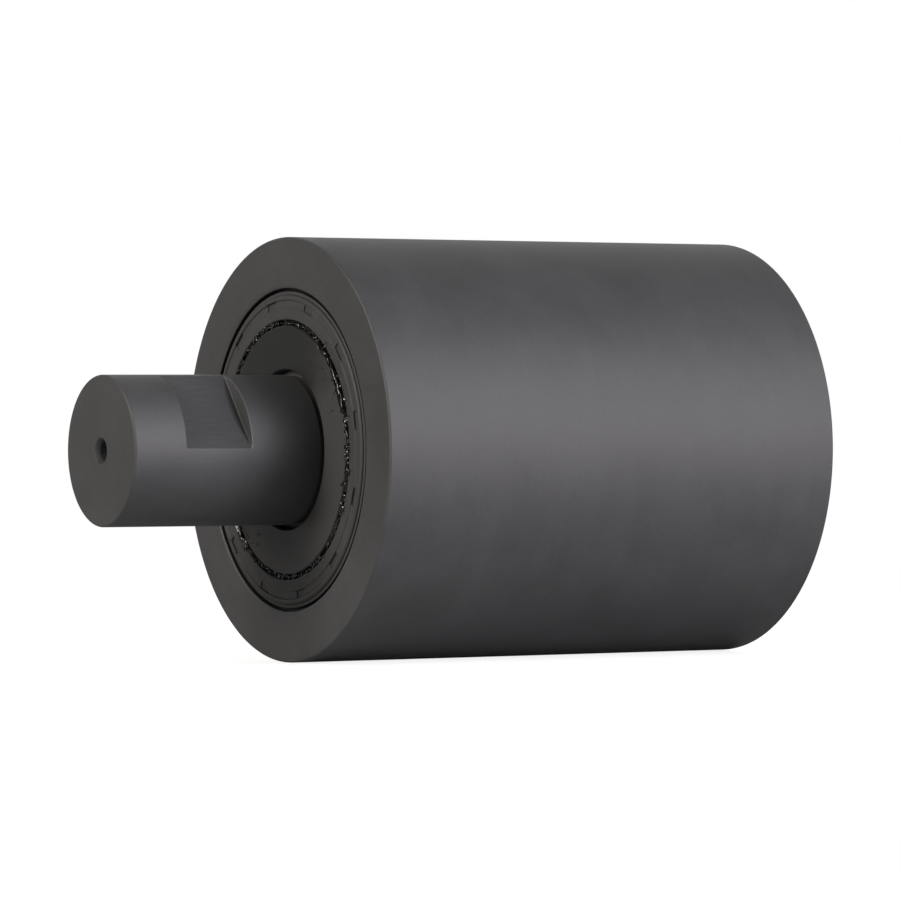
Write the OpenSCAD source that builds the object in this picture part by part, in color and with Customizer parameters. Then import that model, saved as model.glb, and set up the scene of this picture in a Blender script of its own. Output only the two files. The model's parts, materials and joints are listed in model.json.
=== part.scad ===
// Heavy cantilever conveyor roller: a thick turned shell that runs on two sealed
// ball bearings around a fixed stub shaft, with a cassette seal at its open end.
// The axis lies along +Y, from the clamped stub to the closed end. The origin is on
// the axis, at the middle of the stub's length.

/* [Roller shell] */
// Outer diameter of the shell
shell_d = 85; // [78:0.5:110]
// Length of the shell
shell_l = 103.5; // [101:0.5:140]
// Edge break around both ends of the shell
shell_edge = 0.3; // [0.2:0.1:2]
// Thickness of the closed end
end_wall = 12; // [6:0.5:13]
// Radial gap around the head of the seal, at the mouth of the bore
mouth_gap = 0.75; // [0.4:0.1:2]
// Depth of the counterbore that seats the head of the seal
mouth_depth = 2; // [1.2:0.1:3]
// Height of the step that the rear bearing's outer race stands against
bore_step = 4; // [2:0.5:6]

/* [Shaft] */
// Diameter of the journal that is clamped in the frame
shaft_d = 30; // [28:0.5:30]
// Length of the stub in front of the shell
stub_l = 41; // [36:0.5:80]
// How much smaller the journal's radius is from its end to the middle of the slot
lead_relief = 0.05; // [0.02:0.01:0.2]
// Chamfer at each end of the shaft
shaft_edge = 0.3; // [0.2:0.1:1.5]
// Height of the seal seat above the bearing seats
seat_step = 1; // [0.5:0.1:1.5]
// Depth of the grinding relief between the journal and the seal seat
relief_depth = 0.3; // [0.1:0.1:0.8]
// Length of that relief
relief_l = 2.2; // [1:0.1:4]
// Height of the bearing shoulder above the bearing seats
shoulder_h = 3.2; // [2:0.1:4.5]
// Length of the shaft behind its retaining ring
shaft_tail = 3.5; // [2:0.5:4]
// Mouth diameter of the lathe centre in the end of the shaft
centre_d = 5.3; // [4.8:0.1:10]
// Diameter of the pilot hole of the lathe centre
pilot_d = 4.2; // [1:0.1:4.6]
// Full depth of the lathe centre
centre_depth = 9; // [8:0.5:12]

/* [Keeper slot] */
// Length of the slot along the shaft
slot_l = 14.4; // [8:0.1:20]
// Distance from the end of the shaft to the slot
slot_from_end = 11.2; // [4:0.1:14]
// Depth of the slot at its middle
slot_depth = 3.2; // [1:0.1:5]
// Direction that the slot faces, from +X towards +Z
slot_angle = 40; // [0:1:90]

/* [Bearings] */
// Bore of the bearings
bearing_id = 30; // [30:0.5:31]
// Outer diameter of the bearings, and of the seal
bearing_od = 62; // [61:0.5:64]
// Width of one bearing
bearing_w = 16; // [15:0.5:18]
// Diameter of the balls
ball_d = 9.525; // [8.5:0.025:9.6]
// Number of balls in one bearing
ball_count = 9; // [7:1:9]
// How far the cage's prongs reach past the middle of the balls
cage_grip = 2; // [1:0.1:3]
// Radial gap between the cage and the lands of the races
cage_gap = 0.9; // [0.5:0.1:1.2]
// Thickness of a bearing's side seal
shield_t = 1.2; // [0.8:0.1:1.4]
// Gap between the ball cage and the side seal behind it
shield_gap = 0.4; // [0.2:0.05:0.7]
// Distance between the two bearings
spacer_l = 32; // [20:1:33]
// Wall of the two spacers
spacer_wall = 3; // [2:0.5:4]

/* [Cassette seal] */
// Width of the seal
seal_w = 10; // [9:0.5:14]
// How far the face of the seal lies below the face of the shell
seal_inset = 0.1; // [0:0.1:0.5]
// Step between the head of the seal and its pressed-in body, on the radius
head_step = 0.45; // [0.2:0.05:1]
// Width of the outer band of the seal's face
outer_band = 5.1; // [4.5:0.1:6]
// Width of the greased gap between the two bands
grease_gap = 1.4; // [0.8:0.1:2]
// Thickness of the face of each band
band_t = 2; // [1.2:0.1:2.4]
// Width of the shallow groove in the outer band
groove_w = 1.7; // [1:0.1:2.2]
// Depth of that groove
groove_depth = 0.2; // [0.1:0.05:0.5]
// Distance of the groove from the edge of the pressed-in body
groove_in = 1.0; // [0.5:0.1:1.6]
// Number of small pockets in the groove
pocket_count = 12; // [4:1:16]
// Length of a pocket around the seal
pocket_l = 4; // [2:0.1:5]
// Depth of a pocket below the floor of the groove
pocket_depth = 0.5; // [0.2:0.1:0.8]
// Direction of the first pocket, from +X towards +Z
pocket_angle = 12; // [0:1:29]
// Wall of the sleeve that turns inside the seal's lip
sleeve_wall = 1.4; // [1:0.1:2]
// Diameter of the garter spring's wire coil
spring_d = 1.6; // [1.2:0.1:2]

/* [Retaining rings] */
// Thickness of the ring in the bore
bore_ring_t = 2; // [1.5:0.1:2.5]
// Radial width of the ring in the bore
bore_ring_w = 5.5; // [4:0.5:6]
// Thickness of the ring on the shaft
shaft_ring_t = 1.5; // [1.2:0.1:2]
// Radial width of the ring on the shaft
shaft_ring_w = 3.6; // [3:0.1:4.5]
// Depth of the groove in the bore
bore_groove = 1.5; // [1:0.1:2]
// Depth of the groove in the shaft
shaft_groove = 0.7; // [0.5:0.1:1]
// Thickness of the washer in front of the shaft ring
washer_t = 2; // [1:0.5:3]

/* [Clearances] */
// Radial clearance of parts that are pressed or slid together
fit = 0.02; // [0.01:0.01:0.04]
// Radial running clearance between balls and races
ball_play = 0.04; // [0.02:0.01:0.06]
// Running clearance around the balls in their cage
cage_play = 0.25; // [0.15:0.05:0.4]
// Running clearance of a lip or a side seal
lip_play = 0.08; // [0.05:0.01:0.15]
// Gap beside a ring in its groove, and between the seal and the ring
side_play = 0.3; // [0.1:0.1:0.6]

/* [Hidden] */
$fn = 96;
eps = 0.01;

// stations along the axis, measured from the shell's front face
seal_y = seal_inset;
seal_end = seal_y + seal_w;
bore_ring_y = seal_end + side_play;
front_bearing_y = bore_ring_y + bore_ring_t;
spacer_y = front_bearing_y + bearing_w;
rear_bearing_y = spacer_y + spacer_l;
bearings_end = rear_bearing_y + bearing_w;
shaft_ring_y = bearings_end + washer_t;
shaft_end = shaft_ring_y + shaft_ring_t + shaft_tail;
face_y = stub_l / 2;

// radii
shell_r = shell_d / 2;
bore_r = bearing_od / 2;
shaft_r = shaft_d / 2;
bearing_ir = bearing_id / 2;
seat_r = bearing_ir + seat_step;
shoulder_r = bearing_ir + shoulder_h;
ball_r = ball_d / 2;
pitch_r = (bearing_ir + bore_r) / 2;
body_r = bore_r - fit;
head_r = bore_r + head_step;
mouth_r = head_r + mouth_gap;
outer_band_r = bore_r - outer_band;
flange_r = outer_band_r - grease_gap;
groove_r = bore_r - groove_in;
sleeve_r = seat_r + sleeve_wall;

// cassette seal: its thin sections, and the lip with its spring
seal_edge = 0.25;
case_wall = 2;
case_edge = 0.5;
face_edge = 0.4;
head_drop = 0.45;
head_edge = 0.1;
groove_slope = 0.15;
lip_web = 1.6;
lip_reach = 3.2;
lip_wall = 1.4;
lip_flat = 0.3;
lip_y = seal_y + band_t;
spring_lift = 3;
spring_behind = 0.6;
tip_y = lip_y + lip_reach;
spring_y = tip_y + spring_behind;
spring_r = sleeve_r + spring_lift;

// retaining rings: the drilled ears beside the opening
ear_r = 3;
ear_hole_r = 1.25;
ear_offset = 4.2;
ear_out = 1;
ring_gap = 3;
ring_play = 0.1;

// ball races: each groove is a little wider than the ball
race_r = 0.52 * ball_d;
race_shift = race_r - ball_r - ball_play;
land = 0.4 * ball_r;
inner_land_r = pitch_r - ball_r + land;
outer_land_r = pitch_r + ball_r - land;
shield_seat = 1.2;
shield_in = 0.5;
race_edge = 0.8;

// direction of the first ball of each bearing at rest, from +X towards +Z
first_ball = 15;

// A ring about the roller's axis; its outline is [radius, distance behind the shell's face]
module turned(outline) {
    translate([0, face_y, 0])
        rotate([-90, 0, 0])
            rotate_extrude()
                polygon(outline);
}

// A round bar along the axis, from one station to another
module bar(r, from, to) {
    translate([0, face_y + from, 0])
        rotate([-90, 0, 0])
            cylinder(r = r, h = to - from);
}

// A plain tube along the axis
module tube(r_in, r_out, from, to) {
    difference() {
        bar(r_out, from, to);
        bar(r_in, from - 1, to + 1);
    }
}

// A torus about the axis
module torus(r, wire_r, at) {
    translate([0, face_y + at, 0])
        rotate([-90, 0, 0])
            rotate_extrude()
                translate([r, 0])
                    circle(r = wire_r);
}

// Turns its children about the axis, from +X towards +Z
module at_angle(a) {
    rotate([0, -a, 0])
        children();
}

// Moves its children to a station behind the shell's front face
module at_station(y) {
    translate([0, face_y + y, 0])
        children();
}

module shell() {
    recess_r = bore_r - bore_step;
    groove_end = bore_ring_y + bore_ring_t + side_play / 2;
    lip = 0.5;
    color("dimgray")
        turned([
            [mouth_r + lip, 0],
            [shell_r - shell_edge, 0],
            [shell_r, shell_edge],
            [shell_r, shell_l - shell_edge],
            [shell_r - shell_edge, shell_l],
            [0, shell_l],
            [0, shell_l - end_wall],
            [recess_r, shell_l - end_wall],
            [recess_r, bearings_end],
            [bore_r, bearings_end],
            [bore_r, groove_end],
            [bore_r + bore_groove, groove_end],
            [bore_r + bore_groove, bore_ring_y],
            [bore_r, bore_ring_y],
            [bore_r, mouth_depth],
            [mouth_r, mouth_depth],
            [mouth_r, lip]
        ]);
}

module shaft() {
    lead_r = shaft_r - lead_relief;
    lead_end = -stub_l + slot_from_end + slot_l / 2;
    relief_r = shaft_r - relief_depth;
    ring_r = bearing_ir - shaft_groove;
    cone_depth = (centre_d - pilot_d) / 2 / tan(30);
    ring_front = shaft_ring_y - side_play / 2;
    color("dimgray")
        difference() {
            turned([
                [0, -stub_l],
                [lead_r - shaft_edge, -stub_l],
                [lead_r, -stub_l + shaft_edge],
                [lead_r, lead_end],
                [shaft_r, lead_end],
                [shaft_r, 0],
                [relief_r, 0],
                [relief_r, relief_l],
                [seat_r - fit, relief_l],
                [seat_r - fit, seal_end],
                [shoulder_r, seal_end],
                [shoulder_r, front_bearing_y],
                [bearing_ir - fit, front_bearing_y],
                [bearing_ir - fit, ring_front],
                [ring_r, ring_front],
                [ring_r, shaft_ring_y + shaft_ring_t],
                [bearing_ir - fit, shaft_ring_y + shaft_ring_t],
                [bearing_ir - fit, shaft_end - shaft_edge],
                [bearing_ir - fit - shaft_edge, shaft_end],
                [0, shaft_end]
            ]);
            turned([
                [0, -stub_l - 1],
                [centre_d / 2, -stub_l - 1],
                [centre_d / 2, -stub_l],
                [pilot_d / 2, -stub_l + cone_depth],
                [pilot_d / 2, -stub_l + centre_depth],
                [0, -stub_l + centre_depth]
            ]);
            at_station(-stub_l + slot_from_end)
                at_angle(slot_angle)
                    translate([shaft_r - slot_depth, 0, -shaft_d])
                        cube([slot_depth * 2, slot_l, shaft_d * 2]);
        }
}

module seal_case() {
    face = seal_y;
    color([0.25, 0.25, 0.25])
        difference() {
            turned([
                [outer_band_r + seal_edge, face],
                [groove_r - groove_w, face],
                [groove_r - groove_w + groove_slope, face + groove_depth],
                [groove_r - groove_slope, face + groove_depth],
                [groove_r, face],
                [bore_r - face_edge, face],
                [bore_r, face + face_edge - head_edge / 2],
                [bore_r, face + head_drop],
                [head_r - head_edge, face + head_drop],
                [head_r, face + head_drop + head_edge],
                [head_r, mouth_depth],
                [body_r, mouth_depth],
                [body_r, seal_end - case_edge],
                [body_r - case_edge, seal_end],
                [bore_r - case_wall, seal_end],
                [bore_r - case_wall, lip_y],
                [outer_band_r, lip_y],
                [outer_band_r, face + seal_edge]
            ]);
            for (i = [0 : pocket_count - 1])
                at_angle(pocket_angle + i * 360 / pocket_count)
                    at_station(face + groove_depth)
                        translate([groove_r - groove_w / 2, 0, 0])
                            cube([groove_w, pocket_depth * 2, pocket_l], center = true);
        }
}

module seal_lip() {
    web_end = lip_y + lip_web;
    back = spring_y + lip_wall;
    lip_r = sleeve_r + lip_play;
    color([0.12, 0.12, 0.12])
        difference() {
            turned([
                [bore_r - case_wall - fit, lip_y],
                [bore_r - case_wall - fit, web_end],
                [spring_r + lip_web + case_edge, web_end],
                [spring_r + lip_web, back],
                [lip_r + lip_wall, back],
                [lip_r, tip_y + lip_flat],
                [lip_r, tip_y],
                [lip_r + lip_wall, lip_y + lip_web / 2],
                [flange_r, lip_y]
            ]);
            torus(spring_r, spring_d / 2 + fit, spring_y);
            tube(spring_r - spring_d / 4, spring_r + spring_d / 4, spring_y, back + 1);
        }
}

module seal_spring() {
    color("silver")
        torus(spring_r, spring_d / 2, spring_y);
}

module seal_sleeve() {
    face = seal_y + 0.1;
    back = lip_y - side_play;
    color([0.22, 0.22, 0.22])
        turned([
            [seat_r + seal_edge, face],
            [flange_r - seal_edge, face],
            [flange_r, face + seal_edge],
            [flange_r, back],
            [sleeve_r, back],
            [sleeve_r, seal_end],
            [seat_r, seal_end],
            [seat_r, face + seal_edge]
        ]);
}

// An open ring with two drilled ears, its opening at the lowest point of the bore or shaft
module retaining_ring(r_in, r_out, ear_at, y, t) {
    angle = asin(ear_offset / ear_at);
    difference() {
        union() {
            tube(r_in, r_out, y, y + t);
            for (side = [-1, 1])
                at_angle(-90 + side * angle)
                    translate([ear_at, face_y + y, 0])
                        rotate([-90, 0, 0])
                            cylinder(r = ear_r, h = t);
        }
        for (side = [-1, 1])
            at_angle(-90 + side * angle)
                translate([ear_at, face_y + y - 1, 0])
                    rotate([-90, 0, 0])
                        cylinder(r = ear_hole_r, h = t + 2);
        at_angle(-90)
            translate([0, face_y + y - 1, -ring_gap / 2])
                cube([r_out * 2, t + 2, ring_gap]);
    }
}

module bore_retaining_ring() {
    r_out = bore_r + bore_groove - ring_play;
    r_in = r_out - bore_ring_w;
    color("darkgray")
        retaining_ring(r_in, r_out, r_in - ear_out, bore_ring_y, bore_ring_t);
}

module shaft_retaining_ring() {
    r_in = bearing_ir - shaft_groove + ring_play;
    r_out = r_in + shaft_ring_w;
    color("darkgray")
        retaining_ring(r_in, r_out, r_out + ear_out, shaft_ring_y, shaft_ring_t);
}

module end_washer() {
    color("silver")
        tube(bearing_ir, inner_land_r - 0.5, bearings_end, shaft_ring_y);
}

module outer_spacer() {
    color("gray")
        tube(bore_r - fit - spacer_wall, bore_r - fit, spacer_y, rear_bearing_y);
}

module inner_spacer() {
    color("gray")
        tube(bearing_ir, bearing_ir + spacer_wall, spacer_y, rear_bearing_y);
}

// The bearing modules stand at a station y, the bearing's near side
module outer_race(y) {
    mid = y + bearing_w / 2;
    seat = shield_in + shield_t + eps;
    color("lightgray")
        difference() {
            turned([
                [outer_land_r + shield_seat, y],
                [bore_r - fit - race_edge, y],
                [bore_r - fit, y + race_edge],
                [bore_r - fit, y + bearing_w - race_edge],
                [bore_r - fit - race_edge, y + bearing_w],
                [outer_land_r + shield_seat, y + bearing_w],
                [outer_land_r + shield_seat, y + bearing_w - seat],
                [outer_land_r, y + bearing_w - seat],
                [outer_land_r, y + seat],
                [outer_land_r + shield_seat, y + seat]
            ]);
            torus(pitch_r - race_shift, race_r, mid);
        }
}

module inner_race(y) {
    mid = y + bearing_w / 2;
    color("lightgray")
        difference() {
            turned([
                [bearing_ir + race_edge, y],
                [inner_land_r, y],
                [inner_land_r, y + bearing_w],
                [bearing_ir + race_edge, y + bearing_w],
                [bearing_ir, y + bearing_w - race_edge],
                [bearing_ir, y + race_edge]
            ]);
            torus(pitch_r + race_shift, race_r, mid);
        }
}

module balls(y) {
    color("silver")
        for (i = [0 : ball_count - 1])
            at_angle(first_ball + i * 360 / ball_count)
                translate([pitch_r, face_y + y + bearing_w / 2, 0])
                    sphere(r = ball_r);
}

// A moulded crown cage: the balls snap in from the near side
module cage(y) {
    mid = y + bearing_w / 2;
    pocket_r = ball_r + cage_play;
    back = mid + bearing_w / 2 - shield_in - shield_t - shield_gap;
    half_w = (outer_land_r - inner_land_r) / 2 - cage_gap;
    color("tan")
        difference() {
            tube(pitch_r - half_w, pitch_r + half_w, mid - cage_grip, back);
            for (i = [0 : ball_count - 1])
                at_angle(first_ball + i * 360 / ball_count)
                    translate([pitch_r, face_y + mid, 0])
                        sphere(r = pocket_r);
        }
}

module shield(y, side) {
    mid = y + bearing_w / 2;
    near = mid + side * (bearing_w / 2 - shield_in);
    far = near - side * shield_t;
    color([0.2, 0.2, 0.2])
        tube(inner_land_r + lip_play, outer_land_r + shield_seat - fit, min(near, far), max(near, far));
}

module front_outer_race() { outer_race(front_bearing_y); }
module front_inner_race() { inner_race(front_bearing_y); }
module front_balls() { balls(front_bearing_y); }
module front_cage() { cage(front_bearing_y); }
module front_shield_near() { shield(front_bearing_y, -1); }
module front_shield_far() { shield(front_bearing_y, 1); }

module rear_outer_race() { outer_race(rear_bearing_y); }
module rear_inner_race() { inner_race(rear_bearing_y); }
module rear_balls() { balls(rear_bearing_y); }
module rear_cage() { cage(rear_bearing_y); }
module rear_shield_near() { shield(rear_bearing_y, -1); }
module rear_shield_far() { shield(rear_bearing_y, 1); }

shell();
shaft();
seal_case();
seal_lip();
seal_spring();
seal_sleeve();
bore_retaining_ring();
shaft_retaining_ring();
end_washer();
outer_spacer();
inner_spacer();
front_outer_race();
front_inner_race();
front_balls();
front_cage();
front_shield_near();
front_shield_far();
rear_outer_race();
rear_inner_race();
rear_balls();
rear_cage();
rear_shield_near();
rear_shield_far();
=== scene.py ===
import json
import math
import random

import bpy
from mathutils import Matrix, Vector


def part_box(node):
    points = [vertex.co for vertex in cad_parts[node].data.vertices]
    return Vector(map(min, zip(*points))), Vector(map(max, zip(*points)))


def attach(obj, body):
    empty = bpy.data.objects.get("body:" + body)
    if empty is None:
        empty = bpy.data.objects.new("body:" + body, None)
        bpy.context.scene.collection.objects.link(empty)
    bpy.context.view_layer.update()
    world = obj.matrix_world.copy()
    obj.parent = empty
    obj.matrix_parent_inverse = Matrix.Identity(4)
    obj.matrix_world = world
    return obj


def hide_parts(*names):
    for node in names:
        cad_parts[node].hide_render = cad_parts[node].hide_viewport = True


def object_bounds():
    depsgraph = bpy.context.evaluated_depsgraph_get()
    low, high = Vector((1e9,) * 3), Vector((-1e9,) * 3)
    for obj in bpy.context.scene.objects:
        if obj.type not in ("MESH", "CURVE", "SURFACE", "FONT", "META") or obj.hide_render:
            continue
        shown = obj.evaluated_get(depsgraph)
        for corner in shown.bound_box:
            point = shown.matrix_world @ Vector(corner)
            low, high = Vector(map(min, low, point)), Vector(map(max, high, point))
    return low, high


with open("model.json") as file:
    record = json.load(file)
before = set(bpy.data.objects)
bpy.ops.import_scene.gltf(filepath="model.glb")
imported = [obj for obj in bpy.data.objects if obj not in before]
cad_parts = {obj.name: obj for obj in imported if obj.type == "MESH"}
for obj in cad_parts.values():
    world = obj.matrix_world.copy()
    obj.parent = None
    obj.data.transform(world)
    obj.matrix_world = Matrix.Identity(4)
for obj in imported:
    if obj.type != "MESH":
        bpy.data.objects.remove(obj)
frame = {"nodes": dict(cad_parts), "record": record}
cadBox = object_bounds()
print("frame loaded:", len(frame["nodes"]), "nodes")

mm = 0.001

# stations along the axis, read from the fixed frame
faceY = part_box("shell")[0].y
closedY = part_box("shell")[1].y
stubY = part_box("shaft")[0].y
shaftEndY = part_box("shaft")[1].y
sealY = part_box("seal_case")[0].y
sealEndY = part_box("seal_case")[1].y
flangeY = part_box("seal_sleeve")[0].y
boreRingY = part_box("bore_retaining_ring")[0].y
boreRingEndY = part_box("bore_retaining_ring")[1].y
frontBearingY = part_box("front_outer_race")[0].y
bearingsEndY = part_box("rear_outer_race")[1].y
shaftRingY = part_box("shaft_retaining_ring")[0].y
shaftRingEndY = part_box("shaft_retaining_ring")[1].y

# radii that two or more pieces share
shellRadius = 42.5 * mm
boreRadius = 31 * mm
journalRadius = 15 * mm
seatRadius = 16 * mm
flangeRadius = 24.9 * mm
caseRadius = 25.9 * mm
gapRadius = (flangeRadius + caseRadius) / 2

# for every turned piece: where its points meet, how its edges are rounded, and what is shaded smooth
weldDistance = 0.002 * mm
roundingSegments = 2
smoothAngle = 40


def deselectAll():
    bpy.ops.object.select_all(action="DESELECT")


def pickObject(piece):
    deselectAll()
    piece.select_set(True)
    bpy.context.view_layer.objects.active = piece


def applyModifier(piece, kind, **settings):
    pickObject(piece)
    modifier = piece.modifiers.new(kind, kind)
    for name, value in settings.items():
        setattr(modifier, name, value)
    bpy.ops.object.modifier_apply(modifier=modifier.name)


def settlePlace(piece):
    pickObject(piece)
    bpy.ops.object.transform_apply(location=True, rotation=True, scale=True)


def turnOnLathe(name, outline, steps, closed=True):
    # outline: (radius, station) pairs in metres, drawn in the YZ plane and spun about Y
    deselectAll()
    bpy.ops.mesh.primitive_plane_add(size=mm)
    piece = bpy.context.object
    piece.name = name
    bpy.ops.object.mode_set(mode="EDIT")
    bpy.ops.mesh.select_mode(type="VERT")
    bpy.ops.mesh.select_all(action="SELECT")
    bpy.ops.mesh.merge(type="CENTER")
    here = Vector((0, 0, 0))
    corners = outline + outline[:1] if closed else outline
    for number, (radius, station) in enumerate(corners):
        there = Vector((0, station, radius))
        if number == 0:
            bpy.ops.transform.translate(value=there - here)
        else:
            bpy.ops.mesh.extrude_region_move(TRANSFORM_OT_translate={"value": there - here})
        here = there
    bpy.ops.mesh.select_all(action="SELECT")
    bpy.ops.mesh.spin(steps=steps, angle=math.tau, center=(0, 0, 0), axis=(0, 1, 0))
    bpy.ops.mesh.select_all(action="SELECT")
    bpy.ops.mesh.remove_doubles(threshold=weldDistance)
    bpy.ops.mesh.normals_make_consistent(inside=False)
    bpy.ops.object.mode_set(mode="OBJECT")
    return piece


def softenEdges(piece, settings):
    applyModifier(piece, "BEVEL", width=settings["rounding"], segments=roundingSegments,
                  limit_method="ANGLE", angle_limit=math.radians(settings["roundedFrom"]),
                  use_clamp_overlap=False)
    pickObject(piece)
    bpy.ops.object.shade_smooth_by_angle(angle=math.radians(smoothAngle))
    applyModifier(piece, "WEIGHTED_NORMAL", keep_sharp=True, weight=100)


def cutAway(piece, cutter):
    applyModifier(piece, "BOOLEAN", object=cutter, operation="DIFFERENCE", solver="EXACT")
    bpy.data.objects.remove(cutter)


def radialPoint(radius, angle, station):
    # angle is in degrees from +X towards +Z
    turn = math.radians(angle)
    return Vector((radius * math.cos(turn), station, radius * math.sin(turn)))


# shell

shell = {
    "steps": 288,
    "edge": 0.3 * mm,
    "mouthRadius": 32.3 * mm,
    "dishRadius": 33.1 * mm,
    "dishDepth": 0.44 * mm,
    "mouthDepth": 2 * mm,
    "grooveDepth": 1.5 * mm,
    "grooveSlack": 0.15 * mm,
    "recessRadius": 27 * mm,
    "endWall": 12 * mm,
    "rounding": 0.12 * mm,
    "roundedFrom": 30,
}


def makeShell():
    edge = shell["edge"]
    grooveRadius = boreRadius + shell["grooveDepth"]
    grooveEndY = boreRingEndY + shell["grooveSlack"]
    mouthRadius = shell["mouthRadius"]
    floorY = closedY - shell["endWall"]
    piece = turnOnLathe("rollerShell", [
        (0, floorY),
        (shell["recessRadius"], floorY),
        (shell["recessRadius"], bearingsEndY),
        (boreRadius, bearingsEndY),
        (boreRadius, grooveEndY),
        (grooveRadius, grooveEndY),
        (grooveRadius, boreRingY),
        (boreRadius, boreRingY),
        (boreRadius, faceY + shell["mouthDepth"]),
        (mouthRadius, faceY + shell["mouthDepth"]),
        (mouthRadius, faceY + shell["dishDepth"]),
        (shell["dishRadius"], faceY),
        (shellRadius - edge, faceY),
        (shellRadius, faceY + edge),
        (shellRadius, closedY - edge),
        (shellRadius - edge, closedY),
        (0, closedY),
    ], shell["steps"], closed=False)
    softenEdges(piece, shell)
    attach(piece, "roller")
    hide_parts("shell")
    print("shell turned:", len(piece.data.polygons), "faces")
    return piece


# shaft

shaft = {
    "steps": 256,
    "edge": 0.3 * mm,
    "leadRelief": 0.05 * mm,
    "reliefRadius": 14.7 * mm,
    "reliefLength": 2.2 * mm,
    "fit": 0.02 * mm,
    "shoulderRadius": 18.2 * mm,
    "ringGrooveDepth": 0.7 * mm,
    "ringSlack": 0.15 * mm,
    "centreRadius": 2.65 * mm,
    "centreSlope": 30,
    "pilotRadius": 2.1 * mm,
    "centreDepth": 9 * mm,
    "slotStart": 11.2 * mm,
    "slotLength": 14.4 * mm,
    "slotFloor": 11.8 * mm,
    "slotAngle": 40,
    "slotFillet": 0.3 * mm,
    "slotFilletSegments": 3,
    "rounding": 0.1 * mm,
    "roundedFrom": 28,
}


def makeSlotCutter():
    depth = journalRadius
    middle = radialPoint(shaft["slotFloor"] + depth / 2, shaft["slotAngle"],
                         stubY + shaft["slotStart"] + shaft["slotLength"] / 2)
    deselectAll()
    bpy.ops.mesh.primitive_cube_add(size=1, location=middle,
                                    rotation=(0, -math.radians(shaft["slotAngle"]), 0))
    cutter = bpy.context.object
    cutter.scale = (depth, shaft["slotLength"], 3 * journalRadius)
    bpy.ops.object.transform_apply(location=False, rotation=False, scale=True)
    bpy.ops.object.mode_set(mode="EDIT")
    bpy.ops.mesh.select_mode(type="EDGE")
    bpy.ops.mesh.select_all(action="DESELECT")
    bpy.ops.object.mode_set(mode="OBJECT")
    for edge in cutter.data.edges:
        # the floor's two edges that lie across the shaft, where the cutter's corners are worn round
        ends = [cutter.data.vertices[number].co for number in edge.vertices]
        edge.select = all(end.x < 0 for end in ends) and abs(ends[0].y - ends[1].y) < mm
    bpy.ops.object.mode_set(mode="EDIT")
    bpy.ops.mesh.bevel(offset=shaft["slotFillet"], segments=shaft["slotFilletSegments"], affect="EDGES")
    bpy.ops.object.mode_set(mode="OBJECT")
    settlePlace(cutter)
    return cutter


def makeShaft():
    edge = shaft["edge"]
    leadRadius = journalRadius - shaft["leadRelief"]
    leadEndY = stubY + shaft["slotStart"] + shaft["slotLength"] / 2
    bearingSeat = journalRadius - shaft["fit"]
    ringRadius = journalRadius - shaft["ringGrooveDepth"]
    coneSlope = math.tan(math.radians(shaft["centreSlope"]))
    coneDepth = (shaft["centreRadius"] - shaft["pilotRadius"]) / coneSlope
    piece = turnOnLathe("stubShaft", [
        (0, stubY + shaft["centreDepth"]),
        (shaft["pilotRadius"], stubY + shaft["centreDepth"]),
        (shaft["pilotRadius"], stubY + coneDepth),
        (shaft["centreRadius"], stubY),
        (leadRadius - edge, stubY),
        (leadRadius, stubY + edge),
        (journalRadius, leadEndY),
        (journalRadius, faceY),
        (shaft["reliefRadius"], faceY),
        (shaft["reliefRadius"], faceY + shaft["reliefLength"]),
        (seatRadius - shaft["fit"], faceY + shaft["reliefLength"]),
        (seatRadius - shaft["fit"], sealEndY),
        (shaft["shoulderRadius"], sealEndY),
        (shaft["shoulderRadius"], frontBearingY),
        (bearingSeat, frontBearingY),
        (bearingSeat, shaftRingY - shaft["ringSlack"]),
        (ringRadius, shaftRingY - shaft["ringSlack"]),
        (ringRadius, shaftRingEndY),
        (bearingSeat, shaftRingEndY),
        (bearingSeat, shaftEndY - edge),
        (bearingSeat - edge, shaftEndY),
        (0, shaftEndY),
    ], shaft["steps"], closed=False)
    cutAway(piece, makeSlotCutter())
    softenEdges(piece, shaft)
    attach(piece, "shaft")
    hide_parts("shaft")
    print("shaft turned and slotted:", len(piece.data.polygons), "faces")
    return piece


# cassette seal: the case turns with the shell, the flange stays on the shaft

seal = {
    "steps": 288,
    "edge": 0.25 * mm,
    "outerEdge": 0.4 * mm,
    "headRadius": 31.65 * mm,
    "headDrop": 0.5 * mm,
    "headEdge": 0.1 * mm,
    "headDepth": 1.9 * mm,
    "bodyRadius": 30.98 * mm,
    "bodyEdge": 0.5 * mm,
    "wallRadius": 29 * mm,
    "bandThickness": 2 * mm,
    "grooveRadius": 30 * mm,
    "grooveWidth": 1.7 * mm,
    "grooveDepth": 0.2 * mm,
    "grooveSlope": 0.15 * mm,
    "creaseWidth": 0.14 * mm,
    "creaseDepth": 0.1 * mm,
    "pocketCount": 12,
    "pocketAngle": 12,
    "pocketLength": 3.6 * mm,
    "pocketWidth": 1.5 * mm,
    "pocketDepth": 0.32 * mm,
    "sleeveRadius": 17.4 * mm,
    "flangeThickness": 1.6 * mm,
    "flangeProud": 0.2 * mm,
    "rounding": 0.06 * mm,
    "roundedFrom": 25,
}


def makePocketCutter(radius, floorY):
    deselectAll()
    for number in range(seal["pocketCount"]):
        angle = seal["pocketAngle"] + number * 360 / seal["pocketCount"]
        bpy.ops.mesh.primitive_cube_add(size=1, location=radialPoint(radius, angle, floorY),
                                        rotation=(0, -math.radians(angle), 0))
        pocket = bpy.context.object
        pocket.scale = (seal["pocketWidth"], 2 * seal["pocketDepth"], seal["pocketLength"])
        if number == 0:
            cutter = pocket
        else:
            pocket.select_set(True)
            cutter.select_set(True)
            bpy.context.view_layer.objects.active = cutter
            bpy.ops.object.join()
    settlePlace(cutter)
    return cutter


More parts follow.
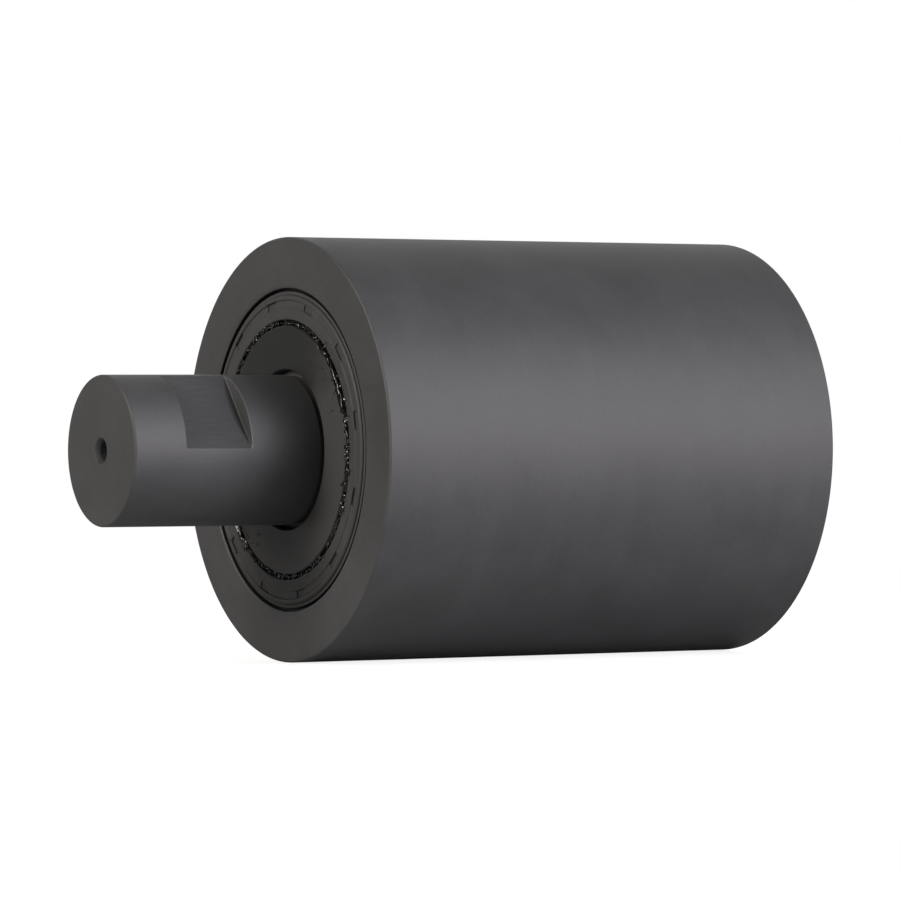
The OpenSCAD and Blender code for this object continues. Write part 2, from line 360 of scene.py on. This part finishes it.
def makeSealCase():
    grooveOut = seal["grooveRadius"]
    grooveIn = grooveOut - seal["grooveWidth"]
    floorY = sealY + seal["grooveDepth"]
    backY = sealY + seal["bandThickness"]
    piece = turnOnLathe("sealCase", [
        (caseRadius + seal["edge"], sealY),
        (grooveIn, sealY),
        (grooveIn + seal["grooveSlope"], floorY),
        (grooveOut - seal["grooveSlope"] - seal["creaseWidth"], floorY),
        (grooveOut - seal["grooveSlope"] - seal["creaseWidth"] / 2, floorY + seal["creaseDepth"]),
        (grooveOut - seal["grooveSlope"], floorY),
        (grooveOut, sealY),
        (boreRadius - seal["outerEdge"], sealY),
        (boreRadius, sealY + seal["outerEdge"] - seal["headEdge"] / 2),
        (boreRadius, sealY + seal["headDrop"]),
        (seal["headRadius"] - seal["headEdge"], sealY + seal["headDrop"]),
        (seal["headRadius"], sealY + seal["headDrop"] + seal["headEdge"]),
        (seal["headRadius"], sealY + seal["headDepth"]),
        (seal["bodyRadius"], sealY + seal["headDepth"]),
        (seal["bodyRadius"], sealEndY - seal["bodyEdge"]),
        (seal["bodyRadius"] - seal["bodyEdge"], sealEndY),
        (seal["wallRadius"], sealEndY),
        (seal["wallRadius"], backY),
        (caseRadius, backY),
        (caseRadius, sealY + seal["edge"]),
    ], seal["steps"])
    cutAway(piece, makePocketCutter(grooveOut - seal["grooveWidth"] / 2, floorY))
    softenEdges(piece, seal)
    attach(piece, "roller")
    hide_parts("seal_case")
    print("seal case moulded:", len(piece.data.polygons), "faces")
    return piece


def makeSealFlange():
    backY = flangeY + seal["flangeThickness"]
    frontY = flangeY - seal["flangeProud"]
    piece = turnOnLathe("sealFlange", [
        (seatRadius + seal["edge"], frontY),
        (flangeRadius - seal["edge"], frontY),
        (flangeRadius, frontY + seal["edge"]),
        (flangeRadius, backY),
        (seal["sleeveRadius"], backY),
        (seal["sleeveRadius"], sealEndY),
        (seatRadius, sealEndY),
        (seatRadius, frontY + seal["edge"]),
    ], seal["steps"])
    softenEdges(piece, seal)
    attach(piece, "shaft")
    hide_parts("seal_sleeve")
    print("seal flange pressed:", len(piece.data.polygons), "faces")
    return piece


rollerShell = makeShell()
stubShaft = makeShaft()
sealCase = makeSealCase()
sealFlange = makeSealFlange()


# one socket of a shader; sums of sockets read as plain maths and make their own nodes
class Wire:
    def __init__(self, socket):
        self.socket = socket

    def node(self, kind, settings, sockets, output=0):
        tree = self.socket.id_data
        made = tree.nodes.new(kind)
        for name, value in settings.items():
            setattr(made, name, value)
        for name, value in sockets.items():
            if isinstance(value, Wire):
                tree.links.new(value.socket, made.inputs[name])
            else:
                made.inputs[name].default_value = value
        return Wire(made.outputs[output]) if made.outputs else None

    def maths(self, operation, *others):
        return self.node("ShaderNodeMath", {"operation": operation}, dict(enumerate((self,) + others)))

    def mathsAfter(self, other, operation):
        return self.node("ShaderNodeMath", {"operation": operation}, {0: other, 1: self})

    def __add__(self, other):
        return self.maths("ADD", other)

    def __radd__(self, other):
        return self.mathsAfter(other, "ADD")

    def __sub__(self, other):
        return self.maths("SUBTRACT", other)

    def __rsub__(self, other):
        return self.mathsAfter(other, "SUBTRACT")

    def __mul__(self, other):
        return self.maths("MULTIPLY", other)

    def __rmul__(self, other):
        return self.mathsAfter(other, "MULTIPLY")

    def __truediv__(self, other):
        return self.maths("DIVIDE", other)

    def __rtruediv__(self, other):
        return self.mathsAfter(other, "DIVIDE")

    def __gt__(self, other):
        return self.maths("GREATER_THAN", other)

    def __lt__(self, other):
        return self.maths("LESS_THAN", other)


def startMaterial(name):
    material = bpy.data.materials.new(name)
    material.use_nodes = True
    shader = material.node_tree.nodes["Principled BSDF"]
    coordinates = material.node_tree.nodes.new("ShaderNodeTexCoord")
    return material, shader, Wire(coordinates.outputs["Object"])


def plug(shader, sockets):
    for name, value in sockets.items():
        if isinstance(value, Wire):
            shader.id_data.links.new(value.socket, shader.inputs[name])
        else:
            shader.inputs[name].default_value = value


def splitPlace(place):
    apart = place.node("ShaderNodeSeparateXYZ", {}, {"Vector": place})
    outputs = apart.socket.node.outputs
    return Wire(outputs[0]), Wire(outputs[1]), Wire(outputs[2])


def packPlace(place, x, y, z):
    return place.node("ShaderNodeCombineXYZ", {}, {0: x, 1: y, 2: z})


def grain(place, scale, detail=3.0, roughness=0.6):
    return place.node("ShaderNodeTexNoise", {"noise_dimensions": "3D"},
                      {"Vector": place, "Scale": scale, "Detail": detail, "Roughness": roughness})


def fade(value, low, high):
    # 0 at low, 1 at high, smooth between
    return value.node("ShaderNodeMapRange", {"interpolation_type": "SMOOTHSTEP"},
                      {"Value": value, "From Min": low, "From Max": high, "To Min": 0.0, "To Max": 1.0})


def blendColours(factor, first, second):
    return factor.node("ShaderNodeMix", {"data_type": "RGBA"},
                       {0: factor, 6: first, 7: second}, output=2)


def grey(value, tint=(1, 1, 1)):
    return (value * tint[0], value * tint[1], value * tint[2], 1)


def bump(height):
    # height is in metres
    return height.node("ShaderNodeBump", {}, {"Height": height, "Distance": 1.0, "Strength": 1.0})


def distanceFrom(across, along):
    return (across * across + along * along).maths("SQRT")


def absolute(value):
    return value.maths("ABSOLUTE")


def centred(noise, reach):
    # noise about its own middle, so that what it is added to stays in its place
    return (noise - 0.5) * reach


def reachTowards(x, z, side):
    # how far a point lies from the axis on the given side, in degrees from +X towards +Z
    return x * math.cos(math.radians(side)) + z * math.sin(math.radians(side))


# marks left by the lathe: rings on a flat face, fine bands round a cylinder
def latheMarks(place, pitch, waver):
    x, y, z = splitPlace(place)
    radius = distanceFrom(x, z)
    sway = packPlace(place, x / radius * waver, (y + radius) / pitch, z / radius * waver)
    return grain(sway, 1.0, detail=2.0, roughness=0.5)


# how far the shades of a noise are pulled apart, and the detail of the broad ones
noiseRange = (0.3, 0.7)
broadDetail = 4.0


# blackened steel of the shell and the shaft
blackSteel = {
    "colour": 0.05,
    "tint": (0.99, 0.995, 1.025),
    "colourSpread": 0.2,
    "roughness": 0.58,
    "roughnessSpread": 0.12,
    "grainSize": 0.35 * mm,
    "blotchSize": 14 * mm,
    "markPitch": 0.16 * mm,
    "markWaver": 0.6,
    "markDepth": 0.003 * mm,
    "bandPitch": 2.24 * mm,
    "bandWaver": 0.4,
    "shares": {"speckle": 0.45, "blotch": 0.45, "bands": 0.1},
    "grainDepth": 0.004 * mm,
    "wearAndHighlightColour": 0.1,
    "wornRoughness": 0.42,
    "wornReach": 0.3 * mm,
    "gapShade": 0.006,
    "gapReach": 0.03 * mm,
    "gapSoft": 0.05 * mm,
}

milling = {
    "pitch": 0.16 * mm,
    "length": 5 * mm,
    "wander": 0.5 * mm,
    "wanderSize": 2.5 * mm,
    "depth": 0.012 * mm,
    "floorBand": 0.03 * mm,
}


def slotFloorMask(x, y, z):
    # 1 on the milled floor of the keeper slot
    above = reachTowards(x, z, shaft["slotAngle"]) - shaft["slotFloor"]
    middleY = stubY + shaft["slotStart"] + shaft["slotLength"] / 2
    onFloor = (above < milling["floorBand"]) * (above > -milling["floorBand"])
    return onFloor * (absolute(y - middleY) < shaft["slotLength"] / 2)


def millingStreaks(place, x, y, z):
    # the cutter's path along the shaft
    across = reachTowards(x, z, shaft["slotAngle"] + 90)
    across = across + grain(place, 1 / milling["wanderSize"], detail=1.0) * milling["wander"]
    return grain(packPlace(place, across / milling["pitch"], y / milling["length"], 0), 1.0)


def cornerDistance(x, y, z, radius, milled):
    # distance from the nearest corner that is worn and carries a painted highlight: the shell's front
    # one, or the stub's and its slot's
    if not milled:
        return distanceFrom(radius - shellRadius, y - faceY)
    wallY = stubY + shaft["slotStart"] + shaft["slotLength"]
    offSlot = reachTowards(x, z, shaft["slotAngle"]) < shaft["slotFloor"]
    slotCorner = distanceFrom(radius - journalRadius, y - wallY) + offSlot
    return slotCorner.maths("MINIMUM", distanceFrom(radius - journalRadius, y - stubY))


def paintBlackSteel(name, milled):
    settings = blackSteel
    shares = settings["shares"]
    material, shader, place = startMaterial(name)
    x, y, z = splitPlace(place)
    radius = distanceFrom(x, z)
    speckle = grain(place, 1 / settings["grainSize"])
    blotch = grain(place, 1 / settings["blotchSize"], detail=broadDetail)
    bands = latheMarks(place, settings["bandPitch"], settings["bandWaver"])
    mixed = speckle * shares["speckle"] + blotch * shares["blotch"] + bands * shares["bands"]
    height = latheMarks(place, settings["markPitch"], settings["markWaver"]) * settings["markDepth"]
    if milled:
        # the slot's floor shows the cutter's path in place of the lathe's rings
        onFloor = slotFloorMask(x, y, z)
        streaks = millingStreaks(place, x, y, z)
        height = height * (1 - onFloor) + streaks * milling["depth"] * onFloor
        mixed = mixed * (1 - onFloor) + streaks * onFloor
    low = grey(settings["colour"] * (1 - settings["colourSpread"]), settings["tint"])
    high = grey(settings["colour"] * (1 + settings["colourSpread"]), settings["tint"])
    colour = blendColours(fade(mixed, *noiseRange), low, high)
    # corners are rubbed to a smoother metal and painted lighter: partly wear, partly a painted highlight
    # along the edge
    corner = cornerDistance(x, y, z, radius, milled)
    edgeWearAndHighlight = 1 - fade(corner + centred(speckle, settings["wornReach"]), 0, settings["wornReach"])
    colour = blendColours(edgeWearAndHighlight, colour, grey(settings["wearAndHighlightColour"]))
    if not milled:
        # painted shade darkens the narrow gap round the seal; the closed end is left out
        edgeRadius = shell["mouthRadius"] + settings["gapReach"]
        outsideGapShade = fade(radius + centred(speckle, settings["gapSoft"]),
                     edgeRadius - settings["gapSoft"], edgeRadius + settings["gapSoft"])
        outsideGapShade = outsideGapShade.maths("MAXIMUM", y > bearingsEndY)
        colour = blendColours(outsideGapShade, grey(settings["gapShade"]), colour)
    roughness = settings["roughness"] + centred(mixed, settings["roughnessSpread"])
    roughness = roughness - edgeWearAndHighlight * (settings["roughness"] - settings["wornRoughness"])
    relief = bump(height + speckle * settings["grainDepth"])
    plug(shader, {"Base Color": colour, "Roughness": roughness, "Normal": relief})
    return material


# coated seal: even and dull, with grease wiped over it beside the gap and painted shade in the gap and
# round the case's head; the flange has been wiped round and round, so it is glossier and finely ringed,
# and its colour carries a painted sheen. Sides are in degrees from +X towards +Z
sealFinish = {
    "case": {"colour": 0.042, "roughness": 0.6, "ringDepth": 0.0,
             "darkSide": -95, "darkReach": (0.5, 1.0), "darkColour": 0.024},
    "flange": {"colour": 0.036, "roughness": 0.45, "ringDepth": 0.02 * mm,
               "darkSide": 100, "darkReach": (0.3, 0.9), "darkColour": 0.01},
    "tint": (1.02, 1.0, 0.98),
    "colourSpread": 0.12,
    "roughnessSpread": 0.1,
    "grainSize": 0.25 * mm,
    "grainDepth": 0.006 * mm,
    "blotchSize": 5 * mm,
    "blotchShare": 0.6,
    "ringPitch": 0.12 * mm,
    "ringWaver": 0.6,
    "sheenSide": 10,
    "sheenContrast": 0.5,
    "darkRagged": 0.5,
    "scuffColour": 0.075,
    "scuffSize": 0.9 * mm,
    "scuffDetail": 5.0,
    "scuffLimit": (0.7, 0.78),
    "stepShade": 0.008,
    "stepBand": 0.06 * mm,
    "stepDepth": (0.12 * mm, 0.25 * mm),
    "wallDepth": (0.53 * mm, 0.65 * mm),
    "smearAndGapShadeColour": 0.012,
    "smearRoughness": 0.3,
    "smearSize": 1.1 * mm,
    "smearReach": 1.6 * mm,
    "smearPull": 0.35,
    "smearLimit": (0.72, 0.86),
    "gapWall": 0.74 * mm,
    "gapSoft": 0.12 * mm,
    "raggedSize": 0.55 * mm,
}


def smearAndGapShadeMask(place, radius):
    # 1 in the gap between the case and the flange, where shade is painted, and where grease has been
    # smeared beside it
    settings = sealFinish
    away = absolute(radius - gapRadius)
    near = 1 - fade(away, 0, settings["smearReach"])
    smear = grain(place, 1 / settings["smearSize"]) + near * settings["smearPull"]
    ragged = away + centred(grain(place, 1 / settings["raggedSize"]), settings["gapSoft"])
    gapWallShade = 1 - fade(ragged, settings["gapWall"], settings["gapWall"] + settings["gapSoft"])
    return fade(smear, *settings["smearLimit"]).maths("MAXIMUM", gapWallShade)


def stepShadeMask(y, radius):
    # 1 on the step and the wall round the case's head, where shade is painted
    band = sealFinish["stepBand"]
    depth = y - sealY
    step = fade(depth, *sealFinish["stepDepth"]) * (radius > boreRadius - band)
    step = step * (radius < boreRadius + band)
    wall = fade(depth, *sealFinish["wallDepth"]) * (radius > boreRadius)
    return step.maths("MAXIMUM", wall)


def paintSeal(name):
    settings = sealFinish
    finish = settings[name]
    colour = finish["colour"]
    material, shader, place = startMaterial("coated." + name)
    x, y, z = splitPlace(place)
    radius = distanceFrom(x, z)
    blotch = grain(place, 1 / settings["blotchSize"], detail=broadDetail)
    fine = grain(place, 1 / settings["grainSize"])
    if name == "flange":
        # painted sheen: lighter towards one side, standing in for the bright sector of the ring-brushed
        # finish
        mixed = reachTowards(x, z, settings["sheenSide"]) / radius * 0.5 + 0.5
        spread = settings["sheenContrast"]
    else:
        mixed = fade(blotch * settings["blotchShare"] + fine * (1 - settings["blotchShare"]), *noiseRange)
        spread = settings["colourSpread"]
    shade = blendColours(mixed, grey(colour * (1 - spread), settings["tint"]),
                         grey(colour * (1 + spread), settings["tint"]))
    # darker on one side: on the flange a painted shade at the top, part of its painted sheen; the case is
    # darker towards the bottom
    darkening = reachTowards(x, z, finish["darkSide"]) / radius + centred(blotch, settings["darkRagged"])
    shade = blendColours(fade(darkening, *finish["darkReach"]), shade, grey(finish["darkColour"]))
    if name == "case":
        # painted shade on the step and the wall round the case's head
        shade = blendColours(stepShadeMask(y, radius), shade, grey(settings["stepShade"]))
    scuff = grain(place, 1 / settings["scuffSize"], detail=settings["scuffDetail"])
    shade = blendColours(fade(scuff, *settings["scuffLimit"]), shade, grey(settings["scuffColour"]))
    # grease smeared beside the gap, and painted shade in the gap itself
    smear = smearAndGapShadeMask(place, radius)
    shade = blendColours(smear, shade, grey(settings["smearAndGapShadeColour"]))
    roughness = finish["roughness"] + centred(fine, settings["roughnessSpread"])
    roughness = roughness - smear * (finish["roughness"] - settings["smearRoughness"])
    height = fine * settings["grainDepth"]
    if finish["ringDepth"] > 0:
        rings = latheMarks(place, settings["ringPitch"], settings["ringWaver"])
        height = height + rings * finish["ringDepth"]
    plug(shader, {"Base Color": shade, "Roughness": roughness, "Normal": bump(height)})
    return material


# grease lies deep in the gap between the flange and the case, and has been squeezed out of it here
# and there. Angles are in degrees from +X towards +Z. In a stretch, size, spread and depth are in
# millimetres, depth counts from the seal's face inwards, and run is a lump's greatest length to width
grease = {
    "thickness": 0.6 * mm,
    "bedDepth": 1.1 * mm,
    "bedSegments": 360,
    "bedSides": 12,
    "stretches": [
        {"angles": (-149, -136), "lumps": 70,
         "size": (0.24, 0.48), "spread": 0.35, "depth": (-0.55, 0.0), "run": 4.0},
        {"angles": (-140, -129), "lumps": 70,
         "size": (0.14, 0.36), "spread": 0.6, "depth": (-0.2, 0.2), "run": 1.8},
        {"angles": (-130, -112), "lumps": 80,
         "size": (0.08, 0.2), "spread": 0.7, "depth": (-0.02, 0.2), "run": 1.6},
        {"angles": (-114, -70), "lumps": 110,
         "size": (0.12, 0.3), "spread": 0.5, "depth": (0.05, 0.6), "run": 1.8},
        {"angles": (-70, -46), "lumps": 50,
         "size": (0.12, 0.26), "spread": 0.35, "depth": (0.02, 0.35), "run": 2.4},
        {"angles": (-47, -27), "lumps": 50,
         "size": (0.14, 0.3), "spread": 0.3, "depth": (-0.05, 0.3), "run": 3.0},
        {"angles": (-28, 22), "lumps": 150,
         "size": (0.16, 0.4), "spread": 0.45, "depth": (-0.2, 0.3), "run": 2.2},
        {"angles": (18, 56), "lumps": 100,
         "size": (0.24, 0.44), "spread": 0.26, "depth": (-0.6, -0.1), "run": 6.0},
        {"angles": (24, 50), "lumps": 44,
         "size": (0.36, 0.52), "spread": 0.14, "depth": (-0.5, -0.2), "run": 7.0},
        {"angles": (18, 62), "lumps": 110,
         "size": (0.12, 0.34), "spread": 0.65, "depth": (-0.15, 0.2), "run": 2.0},
        {"angles": (56, 72), "lumps": 40,
         "size": (0.12, 0.3), "spread": 0.5, "depth": (0.05, 0.4), "run": 1.6},
        {"angles": (70, 98), "lumps": 30,
         "size": (0.1, 0.24), "spread": 0.5, "depth": (0.3, 0.8), "run": 1.6},
        {"angles": (96, 150), "lumps": 110,
         "size": (0.12, 0.36), "spread": 0.4, "depth": (0.0, 0.5), "run": 1.8},
        {"angles": (150, 212), "lumps": 90,
         "size": (0.14, 0.36), "spread": 0.4, "depth": (0.0, 0.4), "run": 1.8},
        {"angles": (-153, -142), "lumps": 26,
         "size": (0.38, 0.56), "spread": 0.2, "depth": (-0.7, -0.3), "run": 6.0},
    ],
    "lumpSubdivisions": 2,
    "radialScale": (0.7, 1.1),
    "axialScale": 0.8,
    "voxel": 0.13 * mm,
    "smoothing": 0.5,
    "smoothings": 2,
    "shades": (0.0049, 0.0098),
    "roughness": 0.07,
    "roughnessSpread": 0.08,
    "grainSize": 0.3 * mm,
    "grainDepth": 0.01 * mm,
    "seed": 7,
}

# small crumbs of grease beside the gap
specks = {
    "case": {"body": "roller", "count": 60, "radii": (26.1 * mm, 27.4 * mm), "proud": 0,
             "angles": ((15, 62), (-140, -118), (-30, 15)), "size": (0.06 * mm, 0.18 * mm),
             "axialScale": 0.5, "run": 2.4},
    "flange": {"body": "shaft", "count": 34, "radii": (19.5 * mm, 24 * mm), "proud": seal["flangeProud"],
               "angles": ((-145, -112), (-135, -120), (15, 60)), "size": (0.05 * mm, 0.16 * mm),
               "axialScale": 0.5, "run": 2.4},
}


def strewLumps(name, count, drawLump):
    # each lump is a flattened ball; local X is radial, Y along the axis, Z round the ring
    deselectAll()
    for number in range(count):
        radius, angle, station, size, scale = drawLump()
        bpy.ops.mesh.primitive_ico_sphere_add(subdivisions=grease["lumpSubdivisions"], radius=size,
                                              scale=scale, location=radialPoint(radius, angle, station),
                                              rotation=(0, -math.radians(angle), 0))
        if number == 0:
            piece = bpy.context.object
            piece.name = name
            settlePlace(piece)
            bpy.ops.object.mode_set(mode="EDIT")
    bpy.ops.object.mode_set(mode="OBJECT")
    return piece


def makeGrease():
    draw = random.Random(grease["seed"])
    deselectAll()
    bpy.ops.mesh.primitive_torus_add(location=(0, sealY + grease["bedDepth"], 0),
                                     rotation=(math.radians(90), 0, 0),
                                     major_radius=gapRadius, minor_radius=grease["thickness"],
                                     major_segments=grease["bedSegments"],
                                     minor_segments=grease["bedSides"])
    piece = bpy.context.object
    piece.name = "grease"
    settlePlace(piece)
    parts = [piece]
    for number, stretch in enumerate(grease["stretches"]):
        def drawLump():
            away = draw.gauss(0, stretch["spread"]) * mm
            size = draw.uniform(*stretch["size"]) * mm
            depth = draw.uniform(*stretch["depth"]) * mm
            scale = (draw.uniform(*grease["radialScale"]), grease["axialScale"],
                     draw.uniform(1.0, stretch["run"]))
            return gapRadius + away, draw.uniform(*stretch["angles"]), sealY + depth, size, scale
        parts.append(strewLumps("lumps" + str(number), stretch["lumps"], drawLump))
    deselectAll()
    for part in parts:
        part.select_set(True)
    bpy.context.view_layer.objects.active = piece
    bpy.ops.object.join()
    applyModifier(piece, "REMESH", mode="VOXEL", voxel_size=grease["voxel"])
    applyModifier(piece, "SMOOTH", factor=grease["smoothing"], iterations=grease["smoothings"])
    bpy.ops.object.shade_smooth()
    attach(piece, "roller")
    print("grease laid:", len(piece.data.polygons), "faces")
    return piece


def makeSpecks(where, settings):
    draw = random.Random(grease["seed"] + len(where))

    def drawSpeck():
        angle = draw.uniform(*draw.choice(settings["angles"]))
        scale = (draw.uniform(*grease["radialScale"]), settings["axialScale"],
                 draw.uniform(1.0, settings["run"]))
        station = sealY - settings["proud"]
        return draw.uniform(*settings["radii"]), angle, station, draw.uniform(*settings["size"]), scale

    piece = strewLumps("greaseSpecks." + where, settings["count"], drawSpeck)
    pickObject(piece)
    bpy.ops.object.shade_smooth()
    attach(piece, settings["body"])
    return piece


def paintGrease():
    material, shader, place = startMaterial("blackGrease")
    fine = grain(place, 1 / grease["grainSize"])
    low, high = grease["shades"]
    plug(shader, {"Base Color": blendColours(fine, grey(low), grey(high)),
                  "Roughness": grease["roughness"] + centred(fine, grease["roughnessSpread"]),
                  "Normal": bump(fine * grease["grainDepth"])})
    return material


# pieces inside the roller, by their finish
innerFinishes = {
    "bearing_steel": {"colour": (0.56, 0.56, 0.57), "spread": 0.08, "metal": 1.0, "roughness": 0.2,
                      "marks": 0.0006 * mm, "pitch": 0.1 * mm, "grain": 0.25 * mm, "relief": 0.0004 * mm},
    "spring_steel": {"colour": (0.4, 0.39, 0.38), "spread": 0.12, "metal": 1.0, "roughness": 0.32,
                     "marks": 0.0, "grain": 0.2 * mm, "relief": 0.001 * mm},
    "ring_steel": {"colour": (0.07, 0.068, 0.066), "spread": 0.3, "metal": 0.6, "roughness": 0.5,
                   "marks": 0.0, "grain": 0.3 * mm, "relief": 0.004 * mm},
    "spacer_steel": {"colour": (0.36, 0.36, 0.37), "spread": 0.12, "metal": 1.0, "roughness": 0.36,
                     "marks": 0.003 * mm, "pitch": 0.2 * mm, "grain": 0.4 * mm, "relief": 0.001 * mm},
    "cage_nylon": {"colour": (0.52, 0.44, 0.29), "spread": 0.1, "metal": 0.0, "roughness": 0.48,
                   "marks": 0.0, "grain": 0.7 * mm, "relief": 0.006 * mm},
    "shield_rubber": {"colour": (0.02, 0.02, 0.02), "spread": 0.3, "metal": 0.0, "roughness": 0.55,
                      "marks": 0.004 * mm, "pitch": 0.5 * mm, "grain": 0.3 * mm, "relief": 0.004 * mm},
    "lip_rubber": {"colour": (0.016, 0.015, 0.015), "spread": 0.3, "metal": 0.0, "roughness": 0.4,
                   "marks": 0.003 * mm, "pitch": 0.4 * mm, "grain": 0.3 * mm, "relief": 0.005 * mm},
}

innerLook = {
    "broad": 10,  # how much broader the blotches are than the grain
    "markWaver": 0.6,
    "roughnessSpread": 0.08,
}

springCoil = {
    "ringRadius": 20 * mm,
    "pitch": 0.5 * mm,
    "depth": 0.12 * mm,
}


def paintInner(name, settings, coiled):
    material, shader, place = startMaterial(name)
    fine = grain(place, 1 / settings["grain"])
    broad = grain(place, 1 / (innerLook["broad"] * settings["grain"]), detail=broadDetail)
    mixed = fade((fine + broad) * 0.5, *noiseRange)
    low = grey(1 - settings["spread"], settings["colour"])
    high = grey(1 + settings["spread"], settings["colour"])
    height = fine * settings["relief"]
    if settings["marks"] > 0:
        height = height + latheMarks(place, settings["pitch"], innerLook["markWaver"]) * settings["marks"]
    if coiled:
        # the spring's close turns, counted round its ring
        x, y, z = splitPlace(place)
        turns = z.maths("ARCTAN2", x) * (springCoil["ringRadius"] / springCoil["pitch"] * math.tau)
        height = height + turns.maths("COSINE") * (springCoil["depth"] / 2)
    plug(shader, {"Base Color": blendColours(mixed, low, high), "Metallic": settings["metal"],
                  "Roughness": settings["roughness"] + centred(mixed, innerLook["roughnessSpread"]),
                  "Normal": bump(height)})
    return material


def dress(piece, material):
    piece.data.materials.clear()
    piece.data.materials.append(material)


dress(rollerShell, paintBlackSteel("blackSteel", False))
dress(stubShaft, paintBlackSteel("milledBlackSteel", True))
dress(sealCase, paintSeal("case"))
dress(sealFlange, paintSeal("flange"))
innerPaints = {slot: paintInner("inner." + slot, settings, slot == "spring_steel")
               for slot, settings in innerFinishes.items()}
for part in frame["record"]["subparts"]:
    if part["material_slot"] in innerPaints:
        for place in frame["nodes"][part["node"]].material_slots:
            place.material = innerPaints[part["material_slot"]]
greasePaint = paintGrease()
dress(makeGrease(), greasePaint)
for where, settings in specks.items():
    dress(makeSpecks(where, settings), greasePaint)
print("pieces painted")

# stage, lights and camera

camera = {
    "azimuth": 59.65,
    "elevation": 0.633,
    "lens": 205.46,
    "sensor": 36,
    "place": (901.9 * mm, -469.4 * mm, 11.3 * mm),
    "clip": (0.01, 50),
}


def makeCamera():
    deselectAll()
    bpy.ops.object.camera_add(location=camera["place"],
                              rotation=(math.radians(90 - camera["elevation"]), 0,
                                        math.radians(camera["azimuth"])))
    lookOut = bpy.context.object
    lookOut.name = "viewCamera"
    lookOut.data.lens = camera["lens"]
    lookOut.data.sensor_width = camera["sensor"]
    lookOut.data.clip_start, lookOut.data.clip_end = camera["clip"]
    bpy.context.scene.camera = lookOut


stage = {
    "floorSize": 12,
    "floorColour": 0.38,
    "floorSeen": 2.2,
    "shadowShare": 0.16,
    "shadowReach": (0.15, 0.45),
    "backdropEdge": 0.6,
    "backdropMiddle": 0.8,
    "lampSize": 0.9,
    "lampDistance": 2,
    "lampAim": Vector((0, 50 * mm, 0)),
}

# each lamp is a round soft box; turn goes from -Y towards +X, rise is above the floor
lamps = {
    "rightHigh": {"turn": 119.65, "rise": 34, "power": 17, "colour": (0.95, 1, 1.05)},
    "rightLow": {"turn": 119.65, "rise": 3.5, "power": 25, "colour": (1.04, 0.975, 1.0)},
    "rightNear": {"turn": 104.65, "rise": 16, "power": 14, "colour": (1.03, 0.97, 1.03)},
    "leftHigh": {"turn": -0.35, "rise": 34, "power": 14, "colour": (1.04, 1, 0.93)},
    "leftLow": {"turn": -0.35, "rise": 16, "power": 20.4, "colour": (1.05, 1, 0.96)},
    "farSide": {"turn": 239.65, "rise": 12, "power": 20, "colour": (1, 1, 1)},
    "farTop": {"turn": 200, "rise": 50, "power": 4, "colour": (1, 1, 1)},
}


def directionOf(turn, rise):
    turn = math.radians(turn)
    rise = math.radians(rise)
    return Vector((math.sin(turn) * math.cos(rise), -math.cos(turn) * math.cos(rise), math.sin(rise)))


def seenAs(tree, kind):
    rays = tree.nodes.new("ShaderNodeLightPath")
    return Wire(rays.outputs[kind])


def makeFloor():
    deselectAll()
    bpy.ops.mesh.primitive_plane_add(size=stage["floorSize"], location=(0, 0, cadBox[0][2]))
    floor = bpy.context.object
    floor.name = "floor"
    settlePlace(floor)
    material = bpy.data.materials.new("paleFloor")
    material.use_nodes = True
    tree = material.node_tree
    tree.nodes.clear()
    seen = seenAs(tree, "Is Camera Ray") + seenAs(tree, "Is Transmission Ray")
    colour = blendColours(seen, grey(stage["floorColour"]), grey(stage["floorSeen"]))
    plain = seen.node("ShaderNodeBsdfDiffuse", {}, {"Color": colour})
    white = seen.node("ShaderNodeEmission", {}, {"Color": grey(1), "Strength": 1})
    # the floor is white to the camera, with a soft share of the object's shadow round its foot
    place = Wire(tree.nodes.new("ShaderNodeTexCoord").outputs["Object"])
    x, y, z = splitPlace(place)
    nearby = 1 - fade(distanceFrom(x, y), *stage["shadowReach"])
    bright = seen * (1 - nearby * stage["shadowShare"])
    mixed = seen.node("ShaderNodeMixShader", {}, {0: bright, 1: plain, 2: white})
    seen.node("ShaderNodeOutputMaterial", {}, {"Surface": mixed})
    dress(floor, material)
    print("floor laid")


def makeWorld():
    # white to the camera and through glass; as a reflection it is a white backdrop behind the object,
    # so that the dark steel keeps its own shade where it faces the room
    world = bpy.data.worlds.new("studio")
    bpy.context.scene.world = world
    world.use_nodes = True
    tree = world.node_tree
    outward = Wire(tree.nodes.new("ShaderNodeTexCoord").outputs["Generated"])
    away = -directionOf(camera["azimuth"], 0)
    facing = outward.node("ShaderNodeVectorMath", {"operation": "DOT_PRODUCT"},
                          {0: outward, 1: away}, "Value")
    backdrop = fade(facing, stage["backdropEdge"], stage["backdropMiddle"])
    plainWhite = seenAs(tree, "Is Camera Ray") + seenAs(tree, "Is Transmission Ray")
    white = plainWhite + seenAs(tree, "Is Glossy Ray") * backdrop
    plug(tree.nodes["Background"], {"Color": grey(1), "Strength": white})


def makeLamps():
    for name, settings in lamps.items():
        outward = directionOf(settings["turn"], settings["rise"])
        deselectAll()
        bpy.ops.object.light_add(type="AREA", location=stage["lampAim"] + outward * stage["lampDistance"],
                                 rotation=outward.to_track_quat("Z", "Y").to_euler())
        lamp = bpy.context.object
        lamp.name = name
        lamp.data.shape = "DISK"
        lamp.data.size = stage["lampSize"]
        lamp.data.energy = settings["power"]
        lamp.data.color = settings["colour"]
        lamp.visible_glossy = not name.startswith("far")  # the far ones only fill, with no bright rim
    print("lamps hung:", len(lamps))


makeCamera()
makeFloor()
makeWorld()
makeLamps()
bpy.context.scene.view_settings.view_transform = "Standard"
